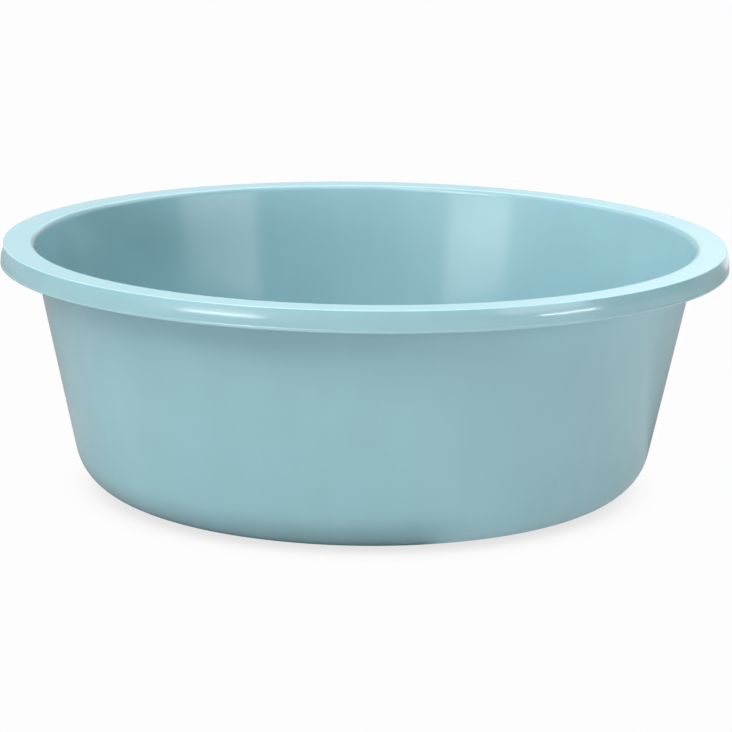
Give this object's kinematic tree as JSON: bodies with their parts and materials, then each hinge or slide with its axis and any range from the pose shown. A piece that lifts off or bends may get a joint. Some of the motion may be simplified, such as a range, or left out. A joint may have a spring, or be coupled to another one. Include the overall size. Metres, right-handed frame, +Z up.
{
  "type": "washing up bowl",
  "caption": "Round open plastic washing-up bowl with a tapered wall, rounded base corner and a flat flange turned down into a skirt to lift it by.",
  "frame": {"origin": "centre of the base, on the surface that the bowl stands on", "axes": "+Z up along the bowl's axis, out of its mouth; X and Y are any two square directions, because the bowl is round"},
  "size_m": [0.36, 0.36, 0.123],
  "materials": {
    "bowl_plastic": "pale aqua polypropylene, satin gloss as moulded"
  },
  "bodies": {
    "root": {"bowl": "bowl_plastic"}
  },
  "joints": []
}
